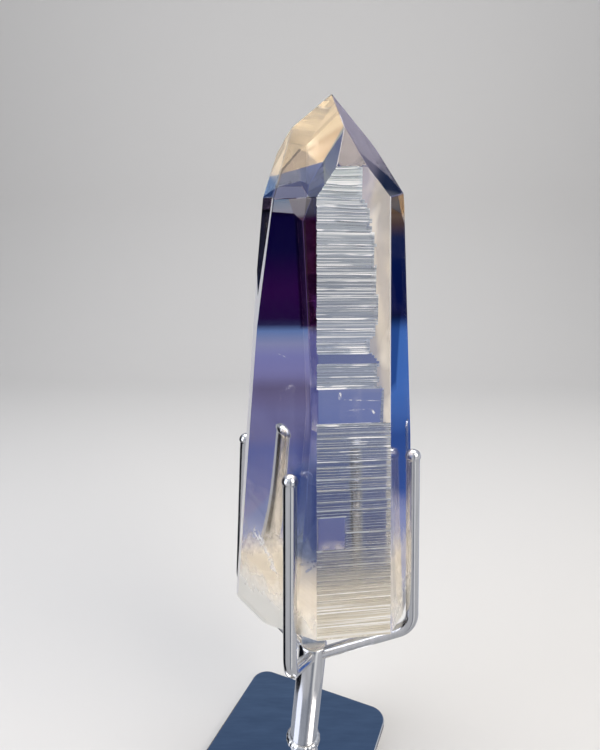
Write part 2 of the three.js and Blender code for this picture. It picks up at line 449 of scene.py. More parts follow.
quartzSpec = {
    "ior": 1.544,  # quartz, ordinary ray
    "tint": "#FAFAFB",  # what is left of white light after one depth of tint
    "tintDepth": 40.0,
    # milk in the lower end: full up to the first height, gone at the second, with a patchy edge
    "cloud": (43.5, 53.0),
    "cloudColour": "#F0EDE3",
    "cloudCover": 0.92,
    "cloudPatches": 0.18,  # per millimetre, as all the patterns' scales are
    "cloudSway": 14.0,
    # risers' tone by height: cream where the lower end is milky, and above it blue-grey bands that are
    # painted shade and reflection
    "riserTonesWithPaintedShade": ((40, "#CEC6B2"), (50, "#D2CAB6"), (55, "#CEC8BA"), (60, "#9C9EA0"), (70, "#98A2B2"),
                     (100, "#A8B2C2"), (105, "#A0A8B4"), (110, "#949CA6"), (116, "#ACB4BC"), (121, "#B8C0C8"),
                     (126, "#D6E0E0"), (132, "#D8E0E0")),
    "sillColour": "#FFFFFF",
    "whiterFrom": (0.8, 0.93),  # shares of frost between which a riser turns to the sill's white
    "etchedRoughness": 0.05,
    "frostRoughness": 0.35,  # added where the frost is full
    # each frost: colour, share, roughness. The satin strip has patches with more of it
    "satin": ("#F1E9DC", 0.3, 0.22),
    "satinPatch": 0.75,
    "satinPatches": (0.26, 0.26, 0.11),
    "satinRange": (0.5, 0.64),
    "worn": ("#E6E4E4", 0.8, 0.35),
    "ground": ("#FFF4E0", 0.2, 0.1),
    # painted tints: shade, dark reflections and warm light painted on the faces; each: the face that shows
    # it, colour, half width of the soft edge in millimetres, corners on that face, each by its x and z (none:
    # all of it)
    "paintedTintDepth": (0.12, 0.06),  # how far below the face they reach, and how softly that ends
    "paintedTints": (
        ("tipLeft", "#FFDFA8", 0.06, ()),
        ("tipLeft", "#BAA17A", 1.2, ((-5.9, 123.0), (-6.2, 126.8), (-3.7, 132.3), (-1.0, 136.4),
            (1.2, 131.9), (-0.6, 128.2), (-3.3, 122.8))),
        ("tipLeft", "#C09868", 0.7, ((1.8, 130.9), (4.4, 132.7), (7.9, 134.3), (7.8, 131.4), (5.5, 128.8),
            (3.7, 128.3))),
        ("tipLeft", "#1E2A62", 0.06, ((0.6, 127.9), (4.4, 128.4), (4.9, 127.5), (4.7, 122.1), (2.4, 122.3),
            (0.9, 125.1))),
        ("tipLeft", "#343E68", 0.06, ((-5.0, 127.2), (0.8, 127.9), (1.1, 124.6), (-4.9, 125.3))),
        ("tipLeft", "#B4BCAC", 0.06, ((-4.9, 125.3), (1.1, 124.6), (2.5, 122.3), (-4.8, 122.9))),
        ("tipLeft", "#9A846C", 0.15, ((0.7, 131.4), (1.8, 130.7), (3.7, 128.3), (-3.1, 127.4),
            (-2.7, 128.1))),
        ("tipLeft", "#3C3028", 0.06, ((0.6, 131.6), (0.9, 131.3), (-2.3, 127.8), (-2.6, 128.2))),
        ("tipLeft", "#3C3028", 0.06, ((-2.6, 128.2), (-2.3, 127.9), (-3.6, 123.2), (-4.0, 123.3))),
        ("tipLeft", "#5A6872", 0.06, ((7.9, 134.3), (7.9, 131.4), (6.4, 121.9), (4.7, 122.1),
            (4.4, 128.4))),
        ("shoulderLeft", "#C5BEB0", 0.06, ()),
        ("shoulderLeft", "#33548C", 0.06, ((-7.7, 128.0), (-2.0, 127.2), (-1.7, 122.4), (-7.1, 123.1))),
        ("sideLeft", "#E6E6BC", 0.06, ((-4.8, 123.3), (1.4, 122.7), (2.3, 119.7), (-5.2, 120.3))),
        ("sideLeft", "#E0E0FF", 0.06, ((-1.0, 122.9), (2.5, 122.6), (1.8, 119.3), (0.2, 119.5))),
        ("sideLeft", "#8E8E9C", 0.15, ((1.8, 122.6), (3.7, 122.4), (3.8, 119.7), (1.5, 119.7))),
        ("sideLeft", "#70406A", 0.3, ((-0.1, 119.9), (1.6, 119.9), (2.5, 102.3), (1.0, 102.0))),
        ("sideLeft", "#50105C", 0.3, ((1.5, 119.9), (3.8, 120.0), (4.0, 102.6), (2.4, 102.3))),
        ("sideLeft", "#9298C4", 0.4, ((2.4, 102.3), (4.0, 102.6), (4.1, 92.9), (2.8, 92.4))),
        ("sideLeft", "#4A5298", 0.4, ((2.6, 92.7), (4.1, 93.2), (4.2, 84.2), (2.7, 83.4))),
        ("sliverLeft", "#181024", 0.1, ((-8.2, 124.3), (-2.9, 123.1), (-2.8, 120.5), (-8.1, 121.3))),
        ("sideRight", "#B88048", 0.3, ((14.2, 123.4), (20.5, 125.0), (20.7, 120.9), (14.3, 120.0))),
        ("sideRight", "#6A7090", 2.0, ((15.5, 87.0), (26.2, 77.1), (27.2, 58.9), (15.9, 73.9))),
        ("sideLeft", "#98A2C0", 2.0, ((1.1, 83.7), (4.3, 86.3), (4.7, 59.0), (1.3, 56.3))),
        ("sideLeft", "#3C5084", 1.2, ((-0.3, 76.3), (4.4, 79.8), (4.7, 61.6), (-0.2, 59.0))),
        ("sideRight", "#0C1A48", 0.9, ((15.1, 105.2), (19.1, 103.8), (17.9, 91.5), (15.6, 92.1))),
        ("tipRight", "#4D5173", 0.06, ()),
        ("tipFront", "#6C6B7C", 0.06, ()),
    ),
    # small frosted marks on the smooth faces: start, end, half width in millimetres, share of frost
    "marks": (
        ((-7.7, -3.5, 58.8), (-6.4, -5.2, 57.6), 1.6, 0.7),
        ((-5.5, -6.6, 56.6), (-3.2, -9.9, 53.5), 0.9, 0.6),
        ((-4.6, -7.9, 55.8), (-4.2, -8.5, 54.2), 1.2, 0.6),
        ((-3.3, -7.2, 96.6), (-1.1, -10.2, 96.3), 0.1, 0.35),
        ((1.2, -15.5, 59.2), (4.0, -19.0, 62.3), 0.3, 0.7),
        ((2.3, -17.0, 58.8), (3.7, -18.7, 61.1), 0.3, 0.7),
        ((7.6, -16.6, 91.7), (7.6, -16.7, 91.0), 0.3, 1.0),
        ((13.0, -16.0, 88.8), (13.4, -16.0, 88.3), 0.25, 0.9),
        ((8.4, -16.6, 90.7), (14.4, -15.7, 90.3), 0.1, 0.5),
        ((9.3, -16.6, 88.9), (12.7, -16.1, 89.0), 0.1, 0.4),
        ((9.1, -13.7, 127.9), (11.0, -13.4, 127.5), 0.5, 0.9),
        ((-3.9, -7.4, 78.1), (-4.0, -8.0, 68.2), 0.15, 0.1),
    ),
    "markCore": 0.3,  # share of the half width that is frosted in full
    "markGrains": 1.4,
    "markGrainRange": (0.42, 0.56),
    # share of frost on the ledges against height, broken up by fine drawn lines
    "frost": (
        (44, 0.95), (56, 0.85), (58.5, 0.62), (60.5, 0.4), (64.6, 0.3), (65.2, 0.11), (71, 0.09), (76, 0.15),
        (80, 0.22), (83, 0.36), (87, 0.42), (92, 0.62), (97, 0.72), (100, 0.84), (130, 0.88),
    ),
    "frostLines": (0.022, 0.022, 4.6),
    "frostRange": (0.36, 0.64, 0.55, 1.15),
    # painted light and shade by the way the face turns: sills that face up get more white frost as a painted
    # highlight, brows that face down are clearer as painted shade: upward part of the normal -> share
    "sill": (0.15, 0.5, 0.0, 0.95),
    "sillPatches": (0.13, 0.13, 0.9),
    "sillRange": (0.38, 0.56, 0.45, 1.0),
    "sillHighlightByHeight": (0.071, 0.083, 0.7, 1.0),  # metres -> share
    "brow": (-0.15, -0.5, 1.0, 0.25),
}


def perMetre(scales):
    # a pattern's scale, given per millimetre
    return tuple(scale / mm for scale in scales)


def lowerMilk(tree, place, axes, spec):
    # milk by height, its edge swayed up and down by a noise
    patches = addNode(tree, "TexNoise", {"Scale": spec["cloudPatches"] / mm, "Detail": 4.0, "Roughness": 0.6},
                      {"Vector": (place, "Object")})
    sway = spec["cloudSway"] * mm
    shifted = addNode(tree, "Math", {"operation": "MULTIPLY_ADD", 1: sway, 2: -sway / 2},
                      {0: (patches, "Fac")})
    level = addNode(tree, "Math", {"operation": "ADD"}, {0: (axes, "Z"), 1: (shifted, 0)})
    low, high = spec["cloud"]
    fade = {"interpolation_type": "SMOOTHSTEP", **fromTo(low * mm, high * mm, spec["cloudCover"], 0.0)}
    return addNode(tree, "MapRange", fade, {"Value": (level, 0)})


def withMarks(tree, place, cover, spec):
    # each mark: frost fades with the distance to its line, and breaks up in grains
    grain = addNode(tree, "TexNoise", {"Scale": spec["markGrains"] / mm, "Detail": 2.0},
                    {"Vector": (place, "Object")})
    grain = addNode(tree, "MapRange", fromTo(*spec["markGrainRange"]), {"Value": (grain, "Fac")})
    for start, end, width, share in spec["marks"]:
        start, reach = np.array(start) * mm, (np.array(end) - np.array(start)) * mm
        gap = addNode(tree, "VectorMath", {"operation": "SUBTRACT", 1: tuple(start)}, {0: (place, "Object")})
        run = addNode(tree, "VectorMath", {"operation": "DOT_PRODUCT", 1: tuple(reach / (reach @ reach))},
                      {0: (gap, 0)})
        run = addNode(tree, "Clamp", links={"Value": (run, "Value")})
        nearest = addNode(tree, "VectorMath", {"operation": "SCALE", 0: tuple(reach)}, {"Scale": (run, 0)})
        off = addNode(tree, "VectorMath", {"operation": "DISTANCE"}, {0: (gap, 0), 1: (nearest, 0)})
        mark = addNode(tree, "MapRange", fromTo(width * mm, width * mm * spec["markCore"], 0.0, share),
                       {"Value": (off, "Value")})
        mark = addNode(tree, "Math", {"operation": "MULTIPLY"}, {0: (mark, 0), 1: (grain, 0)})
        cover = addNode(tree, "Math", {"operation": "MAXIMUM"}, {0: (cover, 0), 1: (mark, 0)})
    return cover


def withLedges(tree, place, axes, milk, spec):
    # frost on the ledges: by height and drawn lines, with painted light by facing: most on the sills that
    # face up as a painted highlight, least on the brows as painted shade
    frost = rampByHeight(tree, axes, [(height, (share,) * 3 + (1.0,)) for height, share in spec["frost"]])
    lines = addNode(tree, "Mapping", {"Scale": perMetre(spec["frostLines"])}, {"Vector": (place, "Object")})
    lines = addNode(tree, "TexNoise", {"Scale": 1.0, "Detail": 3.0, "Roughness": 0.65},
                    {"Vector": (lines, 0)})
    lines = addNode(tree, "MapRange", fromTo(*spec["frostRange"]), {"Value": (lines, "Fac")})
    surface = addNode(tree, "NewGeometry")
    tilt = addNode(tree, "SeparateXYZ", links={0: (surface, "True Normal")})
    # painted highlight: up-facing sills get more white frost, broken in patches and weaker low down
    sill = addNode(tree, "MapRange", fromTo(*spec["sill"]), {"Value": (tilt, "Z")})
    broken = addNode(tree, "Mapping", {"Scale": perMetre(spec["sillPatches"])}, {"Vector": (place, "Object")})
    broken = addNode(tree, "TexNoise", {"Scale": 1.0, "Detail": 2.0}, {"Vector": (broken, 0)})
    broken = addNode(tree, "MapRange", fromTo(*spec["sillRange"]), {"Value": (broken, "Fac")})
    duller = addNode(tree, "MapRange", fromTo(*spec["sillHighlightByHeight"]), {"Value": (axes, "Z")})
    # painted shade: down-facing brows get less frost, so they look clearer and darker
    brow = addNode(tree, "MapRange", fromTo(*spec["brow"]), {"Value": (tilt, "Z")})
    for share in (broken, duller):
        sill = addNode(tree, "Math", {"operation": "MULTIPLY"}, {0: (sill, 0), 1: (share, 0)})
    riser = frost
    for share in (lines, brow):
        riser = addNode(tree, "Math", {"operation": "MULTIPLY"}, {0: (riser, 0), 1: (share, 0)})
    frostAndPaintedLight = addNode(tree, "Math", {"operation": "MAXIMUM"}, {0: (riser, 0), 1: (sill, 0)})
    return addNode(tree, "Math", {"operation": "MAXIMUM"}, {0: (milk, 0), 1: (frostAndPaintedLight, 0)})


def withPaintedTints(tree, place, body, spec):
    # each painted tint colours its face inside its corners with painted shade, reflection or light: the
    # smallest of the distances to its sides decides
    for face, colour, fade, corners in spec["paintedTints"]:
        direction, tip, distance = crystalSpec["faces"][face]
        normal = facing(direction, tip)
        depth, depthFade = spec["paintedTintDepth"]
        sides = [(normal, crystalSpec["core"] + normal * (distance - depth), depthFade)]
        flat = distance + normal @ crystalSpec["core"]
        corners = [np.array((x, (flat - normal[0] * x - normal[2] * z) / normal[1], z)) for x, z in corners]
        for a, b in zip(corners, corners[1:] + corners[:1]):
            across = np.cross(normal, a - b)
            sides.append((across / np.linalg.norm(across), a, fade))
        mask = None
        for across, point, soft in sides:
            off = addNode(tree, "VectorMath", {"operation": "DOT_PRODUCT", 1: tuple(across)},
                          {0: (place, "Object")})
            reach = float(across @ point)
            side = addNode(tree, "MapRange", fromTo((reach - soft) * mm, (reach + soft) * mm),
                           {"Value": (off, "Value")})
            mask = side if mask is None else addNode(tree, "Math", {"operation": "MINIMUM"},
                                                     {0: (mask, 0), 1: (side, 0)})
        mix = addNode(tree, "Mix", {"data_type": "RGBA", 7: srgb(colour)}, {0: (mask, 0), 6: body})
        body = (mix, 2)
    return body


def closeQuartz(tree, settings, links=None):
    # the surface with quartz's index of refraction, and the faint tint inside
    shader = addNode(tree, "BsdfPrincipled", {"IOR": quartzSpec["ior"], **settings}, links)
    inside = addNode(tree, "VolumeAbsorption", {
        "Color": srgb(quartzSpec["tint"]), "Density": 1 / (quartzSpec["tintDepth"] * mm)})
    addNode(tree, "OutputMaterial", None, {"Surface": (shader, 0), "Volume": (inside, 0)})


def makeQuartz(name, roughness, ledged):
    # rock crystal: clear body. Growth-etched ledges scatter some light white, most on the sills that face up
    # as a painted highlight, with painted shade on the brows and risers, and painted tints on the smooth
    # faces
    material, tree = newMaterial(name)
    spec = quartzSpec
    place = addNode(tree, "TexCoord")
    axes = addNode(tree, "SeparateXYZ", links={0: (place, "Object")})
    milk = lowerMilk(tree, place, axes, spec)
    tint, under = {"data_type": "RGBA", 7: srgb(spec["cloudColour"])}, {0: (milk, 0)}
    if ledged:
        cover = withLedges(tree, place, axes, milk, spec)
        # riser tone by height with painted shade and reflection, turning to white where the frost is full
        riser = rampByHeight(tree, axes, [(height, srgb(code)) for height, code in spec["riserTonesWithPaintedShade"]])
        whiter = addNode(tree, "MapRange", fromTo(*spec["whiterFrom"]), {"Value": (cover, 0)})
        ledgeFrostAndPaintedShade = addNode(tree, "Mix", {"data_type": "RGBA", 7: srgb(spec["sillColour"])},
                       {0: (whiter, 0), 6: (riser, 0)})
        under[6] = (ledgeFrostAndPaintedShade, 2)
    else:
        cover = withMarks(tree, place, milk, spec)
        tint[6] = srgb(spec["sillColour"])
    body = (addNode(tree, "Mix", tint, under), 2)
    # the smooth faces get the painted tints: shade, reflection and light painted on them
    if not ledged:
        body = withPaintedTints(tree, place, body, spec)
    clear = addNode(tree, "Math", {"operation": "SUBTRACT", 0: 1.0, "use_clamp": True}, {1: (cover, 0)})
    dull = addNode(tree, "Math", {"operation": "MULTIPLY_ADD", 1: spec["frostRoughness"], 2: roughness},
                   {0: (cover, 0)})
    closeQuartz(tree, {}, {"Base Color": body, "Transmission Weight": (clear, 0), "Roughness": (dull, 0)})
    return material


def makeFrosted(name, colour, cover, roughness, patchCover=None):
    # the same crystal with an even frost, or with patches of more: worn edges, satin strip, ground lower end
    material, tree = newMaterial(name)
    settings = {"Base Color": srgb(colour), "Roughness": roughness}
    if patchCover is None:
        closeQuartz(tree, {"Transmission Weight": 1 - cover, **settings})
        return material
    place = addNode(tree, "TexCoord")
    place = addNode(tree, "Mapping", {"Scale": perMetre(quartzSpec["satinPatches"])},
                    {"Vector": (place, "Object")})
    patch = addNode(tree, "TexNoise", {"Scale": 1.0, "Detail": 2.0}, {"Vector": (place, 0)})
    clear = addNode(tree, "MapRange", fromTo(*quartzSpec["satinRange"], 1 - cover, 1 - patchCover),
                    {"Value": (patch, "Fac")})
    closeQuartz(tree, settings, {"Transmission Weight": (clear, 0)})
    return material


def makeCrystal():
    normals, reaches = crystalPlanes(crystalSpec)
    normals, reaches = wornEdges(normals, reaches, crystalSpec)
    crystal = convexBody("crystalPoint", normals, reaches)
    crystal.data.materials.append(makeQuartz("rockCrystalSmooth", 0.0, False))
    crystal.data.materials.append(makeFrosted("rockCrystalWorn", *quartzSpec["worn"]))
    crystal.data.materials.append(makeFrosted("rockCrystalGround", *quartzSpec["ground"]))
    worn = wornNormals(crystalSpec)
    sameWay, downward = math.cos(math.radians(0.4)), -0.98
    for polygon in crystal.data.polygons:
        if (worn @ np.array(polygon.normal)).max() > sameWay:
            polygon.material_index = 1
        elif polygon.normal.z < downward:
            polygon.material_index = 2
    block = makeLadderBlock(ladderSpec, crystalSpec)
    block.data.materials.append(makeQuartz("rockCrystalEtched", quartzSpec["etchedRoughness"], True))
    satin = makeFrosted("rockCrystalSatin", *quartzSpec["satin"], quartzSpec["satinPatch"])
    block.data.materials.append(satin)
    combine(crystal, block, "INTERSECT")
    crystal.data.shade_flat()
    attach(crystal, "root")
    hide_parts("crystal")
    print("crystal:", len(crystal.data.polygons), "faces")
    return crystal


# steel holder: colour, roughness, grinding marks per millimetre along x, y and z, strength of their relief
steelSpec = {
    "rod": ("#C9C9CB", 0.16, (0.9, 0.9, 0.06), 0.15),
    "plate": ("#C3C4C8", 0.035, (0.12, 0.7, 0.3), 0.05),
    "buffed": "#D8D8DA",
    "relief": 0.02,
    "dulling": (0.75, 1.3),  # least and most roughness, as shares
    "marksRange": (0.3, 0.7),  # values of the pattern between which the roughness changes
    "toneRange": (0.3, 0.75),  # and the colour
}


def makeSteel(name, colour, roughness, marksPerMm, relief):
    # stainless steel, ground and then buffed: bright, with faint marks left along the grinding
    material, tree = newMaterial(name)
    place = addNode(tree, "TexCoord")
    turned = addNode(tree, "Mapping", {"Scale": perMetre(marksPerMm)}, {"Vector": (place, "Object")})
    marks = addNode(tree, "TexNoise", {"Scale": 1.0, "Detail": 3.0, "Roughness": 0.6},
                    {"Vector": (turned, 0)})
    least, most = steelSpec["dulling"]
    dull = addNode(tree, "MapRange", fromTo(*steelSpec["marksRange"], roughness * least, roughness * most),
                   {"Value": (marks, "Fac")})
    low, high = steelSpec["toneRange"]
    tone = ramp(tree, (marks, "Fac"), [(low, srgb(colour)), (high, srgb(steelSpec["buffed"]))])
    bump = addNode(tree, "Bump", {"Strength": relief, "Distance": steelSpec["relief"] * mm},
                   {"Height": (marks, "Fac")})
    shader = addNode(tree, "BsdfPrincipled", {"Metallic": 1.0},
                     {"Base Color": (tone, 0), "Roughness": (dull, 0), "Normal": (bump, 0)})
    addNode(tree, "OutputMaterial", None, {"Surface": (shader, 0)})
    return material


plateSpec = {
    "side": 36.0, "corner": 4.0, "thickness": 1.5, "turn": -23.0, "bevel": 0.22,
    "cornerSteps": 24, "bevelSteps": 5,
}
stemSpec = {
    "foot": (2.35, 2.0), "radius": 3.2, "height": 25.2, "lean": (0.085, 0.075), "sides": 96,
    "centre": 0.01,  # the end caps' radius
    "footStep": 0.3,
    "rows": (1.0, 0.9, 24),  # first above the foot, last below the top, how many
    "topEase": (0.7, 7),  # radius and steps
    "beadRadius": 4.05, "beadHeight": 0.9, "beadInset": 0.4, "beadSides": 180, "beadSteps": 8,
    "dropHeight": 0.12, "drops": 9, "dropSway": 0.6,  # the drops aren't all as wide as each other
}
rodSpec = {
    "radius": 1.3, "tipRadius": 1.5, "tipLength": 1.9, "bendHeight": 37.2, "bendLength": 3.6,
    "hubHeight": 23.0, "intoHub": 2.6, "neckLength": 0.5, "neckSink": 0.55, "sides": 40,
    "armSteps": 26, "bendSteps": 30, "neckSteps": 6, "domeSteps": 14,
    "neckGap": 0.3,  # the last ring of the rise stays this far below the neck
    "tipHole": 0.004,  # radius of the flat at the very tip, as a share of the tip's
    "places": {
        "Front": ((-0.5, -17.1), (-0.6, -14.8, 75.9)),
        "Right": ((25.0, -4.0), (22.7, -5.4, 77.0)),
        "Back": ((11.9, 20.2), (11.2, 17.9, 75.1)),
        "Left": ((-12.6, 11.2), (-10.5, 8.0, 75.1)),
    },
}


def closedTube(name, points, sides, material, smooth=True):
    # rings of points joined one to the next, with a flat cap on the first and the last
    faces = gridFaces(len(points) // sides, sides, closeCols=True)
    faces.append(list(range(sides))[::-1])
    faces.append(list(range(len(points) - sides, len(points))))
    piece = newPiece(name, points, faces, smooth)
    piece.data.materials.append(material)
    return piece


def makePlate(spec, material):
    # a rounded square carried up a profile with eased edges, and closed flat above and below
    turn = np.linspace(0, math.pi / 2, spec["cornerSteps"])
    quarter = np.stack([np.cos(turn), np.sin(turn)], axis=-1)
    inner = spec["side"] / 2 - spec["corner"]
    shifts = ((1, 1), (-1, 1), (-1, -1), (1, -1))
    rings = []
    ease = np.linspace(0, math.pi / 2, spec["bevelSteps"])
    profile = [(-spec["bevel"] * (1 - math.sin(a)), spec["bevel"] * (1 - math.cos(a))) for a in ease]
    profile += [(inset, spec["thickness"] - height) for inset, height in reversed(profile)]
    for inset, height in profile:
        radius = spec["corner"] + inset
        parts = []
        for i, shift in enumerate(shifts):
            c, s = math.cos(i * math.pi / 2), math.sin(i * math.pi / 2)
            parts.append(quarter @ np.array([[c, s], [-s, c]]) * radius + np.array(shift) * inner)
        outline = np.vstack(parts)
        rings.append(np.column_stack([outline, np.full(len(outline), height)]))
    points = np.vstack(rings)
    c, s = math.cos(math.radians(spec["turn"])), math.sin(math.radians(spec["turn"]))
    points[:, :2] = points[:, :2] @ np.array([[c, s], [-s, c]])
    return closedTube("basePlateSheet", points, len(rings[0]), material, smooth=False)


def turnedPoints(profile, sides, spec, ripple=None):
    # a profile of (radius, height above the plate) turned about the leaning axis
    angle = np.linspace(0, 2 * math.pi, sides, endpoint=False)
    radius, height = np.array(profile).T
    r, a = np.meshgrid(radius, angle, indexing="ij")
    h = np.broadcast_to(height[:, None], r.shape).copy()
    if ripple is not None:
        r = ripple(r, a, h)
    x = spec["foot"][0] + spec["lean"][0] * h + r * np.cos(a)
    y = spec["foot"][1] + spec["lean"][1] * h + r * np.sin(a)
    return np.stack([x, y, h + plateSpec["thickness"]], axis=-1).reshape(-1, 3)


def makeStem(spec, material):
    # a round bar with eased top edge
    radius, top, centre = spec["radius"], spec["height"], spec["centre"]
    ease, easeSteps = spec["topEase"]
    first, last, count = spec["rows"]
    profile = [(centre, 0.0), (radius, 0.0), (radius, spec["footStep"])]
    profile += [(radius, h) for h in np.linspace(first, top - last, count)]
    profile += [(radius - ease + ease * math.cos(a), top - ease + ease * math.sin(a))
                for a in np.linspace(0, math.pi / 2, easeSteps)]
    profile.append((centre, top))
    return closedTube("stemBar", turnedPoints(profile, spec["sides"], spec), spec["sides"], material)


def makeWeldBead(spec, material):
    # a low ring of overlapping weld drops round the stem's foot
    def drops(r, a, h):
        swell = spec["dropHeight"] * np.abs(np.sin(a * spec["drops"] + spec["dropSway"] * np.sin(a * 2)))
        return r + np.where(r > spec["radius"], swell, 0)

    arc = np.linspace(0, math.pi / 2, spec["beadSteps"])
    width = spec["beadRadius"] - spec["dropHeight"] - spec["radius"]
    inside = spec["radius"] - spec["beadInset"]
    profile = [(inside, 0.0)]
    profile += [(spec["radius"] + width * math.cos(a), spec["beadHeight"] * math.sin(a)) for a in arc]
    profile.append((inside, spec["beadHeight"]))
    rows, sides = len(profile), spec["beadSides"]
    points = turnedPoints(profile, sides, spec, drops)
    index = np.arange(rows * sides).reshape(rows, sides)
    closing = np.stack([index[-1], np.roll(index[-1], -1), np.roll(index[0], -1), index[0]], axis=-1).tolist()
    piece = newPiece("stemWeldBead", points, gridFaces(rows, sides, closeCols=True) + closing)
    piece.data.materials.append(material)
    return piece


def tubePoints(path, radius, sides):
    # circles carried along the path; each frame is turned on from the last one's
    tangent = np.gradient(path, axis=0)
    tangent /= np.linalg.norm(tangent, axis=1)[:, None]
    side = np.cross(tangent[0], [0.0, 0.0, 1.0])
    across = []
    for t in tangent:
        side = side - t * (side @ t)
        side /= np.linalg.norm(side)
        across.append(side)
    across = np.array(across)
    other = np.cross(tangent, across)
    angle = np.linspace(0, 2 * math.pi, sides, endpoint=False)
    ring = across[:, None] * np.cos(angle)[None, :, None] + other[:, None] * np.sin(angle)[None, :, None]
    return (path[:, None] + ring * radius[:, None, None]).reshape(-1, 3)


def stemAxis(height):
    rise = height - plateSpec["thickness"]
    return np.array([*np.array(stemSpec["foot"]) + np.array(stemSpec["lean"]) * rise, height])


def makeRod(name, bend, tip, spec, material):
    # straight arm from the stem, a round bend, a straight rise and a domed tip
    hub, tip = stemAxis(spec["hubHeight"]), np.array(tip)
    corner = np.array([*bend, spec["bendHeight"]])
    arm, rise = hub - corner, tip - corner
    arm, rise = arm / np.linalg.norm(arm), rise / np.linalg.norm(rise)
    start = hub - arm * spec["intoHub"]
    bendEnd, bendTop = corner + arm * spec["bendLength"], corner + rise * spec["bendLength"]
    t = np.linspace(0, 1, spec["bendSteps"])[:, None]
    curve = (1 - t) ** 2 * bendEnd + 2 * t * (1 - t) * corner + t ** 2 * bendTop
    t = np.linspace(0, 1, spec["armSteps"])[:-1, None]
    lower = start * (1 - t) + bendEnd * t
    upper = (bendTop * (1 - t) + tip * t)[1:]
    turn = np.linspace(0, math.pi / 2, spec["domeSteps"])[1:]
    neck = spec["neckLength"]
    shoulder = tip - rise * (spec["tipLength"] - spec["neckSink"])
    upper = upper[(upper @ rise) < shoulder @ rise - spec["neckGap"]]
    swell = np.linspace(0, 1, spec["neckSteps"])
    dome = shoulder + rise * (neck + np.sin(turn)[:, None] * spec["tipRadius"])
    path = np.vstack([lower, curve, upper, shoulder + rise * swell[:, None] * neck, dome])
    radius, tipRadius = spec["radius"], spec["tipRadius"]
    radii = np.concatenate([
        np.full(len(lower) + len(curve) + len(upper), radius),
        radius + (tipRadius - radius) * smoothStep(0, 1, swell),
        tipRadius * np.maximum(np.cos(turn), spec["tipHole"]),
    ])
    return closedTube(name, tubePoints(path, radii, spec["sides"]), spec["sides"], material)


def makeHolder():
    rodSteel = makeSteel("stainlessRodBuffed", *steelSpec["rod"])
    plateSteel = makeSteel("stainlessSheetMirror", *steelSpec["plate"])
    plate = makePlate(plateSpec, plateSteel)
    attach(plate, "root")
    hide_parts("base_plate")
    stem = makeStem(stemSpec, rodSteel)
    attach(stem, "root")
    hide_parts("stem")
    bead = makeWeldBead(stemSpec, rodSteel)
    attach(bead, "root")
    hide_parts("stem")
    for side, (bend, tip) in rodSpec["places"].items():
        rod = makeRod("rod" + side, bend, tip, rodSpec, rodSteel)
        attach(rod, "root")
        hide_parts("prong_" + side.lower())
    print("holder: plate, stem, bead and", len(rodSpec["places"]), "rods")


# studio: a pale sweep, a light tent for what shows through the crystal, three soft lamps
studioSpec = {
    "floor": "#CFCECD",
    "floorRoughness": 0.85,
    "floorWidth": 1400.0,
    "floorFront": -500.0,
    "floorBack": 330.0,
    "sweepRadius": 160.0,
    "sweepSteps": 24,
    "wallTop": 900.0,
    "worldLight": "#E9ECF2",
    "worldStrength": 0.42,
}


def makeSweep(spec):
    # floor, a quarter circle and a wall, as one profile carried sideways
    turn = np.linspace(0, math.pi / 2, spec["sweepSteps"])
    radius = spec["sweepRadius"]
    profile = [(spec["floorFront"], 0.0), (spec["floorBack"], 0.0)]
    profile += [(spec["floorBack"] + radius * math.sin(a), radius * (1 - math.cos(a))) for a in turn[1:]]
    profile.append((spec["floorBack"] + radius, spec["wallTop"]))
    y, z = np.array(profile).T
    x = np.array([-spec["floorWidth"] / 2, spec["floorWidth"] / 2])
    gridX, gridY = np.meshgrid(x, y)
    gridZ = np.broadcast_to(z[:, None], gridX.shape)
    points = np.stack([gridX, gridY, gridZ], axis=-1).reshape(-1, 3)
    sweep = newPiece("paleSweep", points, gridFaces(len(y), 2))
    material, tree = newMaterial("matPaperSweep")
    shader = addNode(tree, "BsdfPrincipled", {"Base Color": srgb(spec["floor"]),
                                              "Roughness": spec["floorRoughness"]})
    addNode(tree, "OutputMaterial", None, {"Surface": (shader, 0)})
    sweep.data.materials.append(material)
    sweep.visible_transmission = False
    sweep.visible_glossy = False
    return sweep


